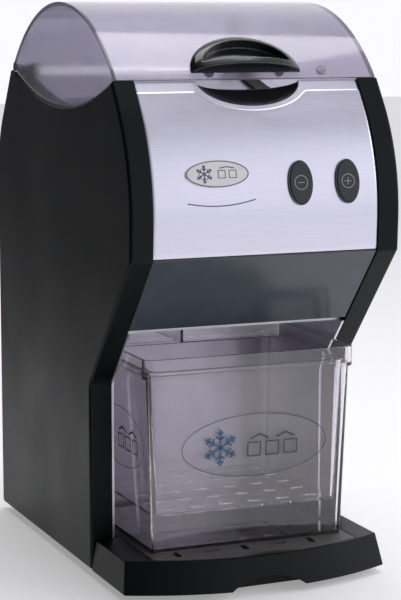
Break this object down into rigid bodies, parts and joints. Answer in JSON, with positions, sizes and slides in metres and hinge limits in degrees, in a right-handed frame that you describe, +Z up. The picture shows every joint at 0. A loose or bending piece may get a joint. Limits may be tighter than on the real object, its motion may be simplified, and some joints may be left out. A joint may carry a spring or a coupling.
{
  "type": "electric ice crusher",
  "caption": "Countertop electric ice crusher: hinged clear lid over a hopper, breaker discs with gear drive, chute, clear ice bin with drainer basket, and drip tray.",
  "frame": {"origin": "on the counter, under the middle of the machine's overall box", "axes": "+Z up, +X to the right of someone facing the machine, +Y towards its back"},
  "size_m": [0.2276, 0.35, 0.464],
  "materials": {
    "casing_abs": "textured black ABS",
    "gloss_black": "gloss black ABS",
    "panel_steel": "satin stainless",
    "hopper_steel": "stainless sheet",
    "smoked_pc": "smoked polycarbonate",
    "clear_pc": "clear polycarbonate",
    "soft_touch": "soft textured elastomer",
    "grid_plastic": "dark grey polypropylene",
    "badge_aluminium": "brushed and printed",
    "zinc_sheet": "zinc plated sheet",
    "cast_aluminium": "as cast",
    "hardened_steel": "ground",
    "bearing_bronze": "sintered bronze",
    "seal_rubber": "nitrile",
    "foot_rubber": "moulded",
    "motor_paint": "dark enamel",
    "nylon": "natural nylon",
    "board": "solder mask",
    "capacitor_can": "drawn can",
    "screw_steel": "zinc plated",
    "magnet": "nickel plated"
  },
  "bodies": {
    "machine": {"side_casing_left": "casing_abs", "side_casing_right": "casing_abs", "rear_cover": "casing_abs", "frame_rails": "zinc_sheet", "front_panel": "panel_steel", "recess_cup": "gloss_black", "badge_plate": "badge_aluminium", "chute_guard": "smoked_pc", "base_plate": "zinc_sheet", "bay_back": "hopper_steel", "bay_liner_left": "hopper_steel", "bay_liner_right": "hopper_steel", "motor_deck": "zinc_sheet", "hopper": "hopper_steel", "hopper_deck": "hopper_steel", "crusher_housing": "cast_aluminium", "shaft_bearings": "bearing_bronze", "shaft_seals": "seal_rubber", "fixed_comb": "hardened_steel", "discharge_chute": "clear_pc", "support_posts": "screw_steel", "gearbox_plate": "cast_aluminium", "gearbox_cover": "cast_aluminium", "gearbox_screws": "screw_steel", "motor_housing": "motor_paint", "motor_bell": "motor_paint", "motor_saddle": "zinc_sheet", "run_capacitor": "capacitor_can", "capacitor_clip": "zinc_sheet", "control_board": "board", "terminal_block": "nylon", "cable_gland": "gloss_black", "button_bezels": "gloss_black", "button_board": "board", "lid_sensor": "nylon", "hinge_brackets": "zinc_sheet", "feet": "foot_rubber", "foot_screws": "screw_steel", "rear_screws": "screw_steel"},
    "lid": {"lid_shell": "clear_pc", "lid_handle": "gloss_black", "handle_screws": "screw_steel", "lid_magnet": "magnet", "hinge_pins": "screw_steel"},
    "minus": {"button_minus": "soft_touch"},
    "plus": {"button_plus": "soft_touch"},
    "motor_rotor": {"motor_shaft": "hardened_steel", "motor_armature": "hardened_steel", "motor_fan": "nylon", "motor_pinion": "hardened_steel"},
    "idler": {"idler_shaft": "hardened_steel", "idler_gear": "hardened_steel"},
    "crusher_rotor": {"crusher_shaft": "hardened_steel", "breaker_discs": "hardened_steel", "disc_spacers": "hopper_steel", "output_gear": "hardened_steel"},
    "tray": {"drip_tray": "casing_abs", "drip_grid": "grid_plastic"},
    "bin": {"ice_bin": "clear_pc"},
    "basket": {"drainer_basket": "clear_pc"}
  },
  "joints": [
    {"name": "lid_hinge", "type": "hinge", "parent": "machine", "child": "lid", "pos_m": [0, 0.126, 0.4073], "axis": [-1, 0, 0], "range_deg": [0, 95]},
    {"name": "minus_press", "type": "slide", "parent": "machine", "child": "minus", "axis": [0, 0.9845, -0.1755], "range_m": [0, 0.0025], "stiffness_N_per_m": 600},
    {"name": "plus_press", "type": "slide", "parent": "machine", "child": "plus", "axis": [0, 0.9845, -0.1755], "range_m": [0, 0.0025], "stiffness_N_per_m": 600},
    {"name": "motor_spin", "type": "hinge", "parent": "machine", "child": "motor_rotor", "pos_m": [0, 0.042, 0.2798], "axis": [1, 0, 0], "continuous": true},
    {"name": "idler_spin", "type": "hinge", "parent": "machine", "child": "idler", "pos_m": [0, -0.00892, 0.26184], "axis": [1, 0, 0], "continuous": true},
    {"name": "crusher_spin", "type": "hinge", "parent": "machine", "child": "crusher_rotor", "pos_m": [0, -0.06, 0.2848], "axis": [1, 0, 0], "continuous": true},
    {"name": "tray_slide", "type": "slide", "parent": "machine", "child": "tray", "axis": [0, -1, 0], "range_m": [0, 0.1]},
    {"name": "bin_slide", "type": "slide", "parent": "tray", "child": "bin", "axis": [0, -1, 0], "range_m": [0, 0.1]},
    {"name": "basket_lift", "type": "slide", "parent": "bin", "child": "basket", "axis": [0, 0, 1], "range_m": [0, 0.012]}
  ],
  "couplings": [
    {"joint": "idler_spin", "follows": "motor_spin", "ratio": -0.2},
    {"joint": "crusher_spin", "follows": "motor_spin", "ratio": 0.066667}
  ]
}
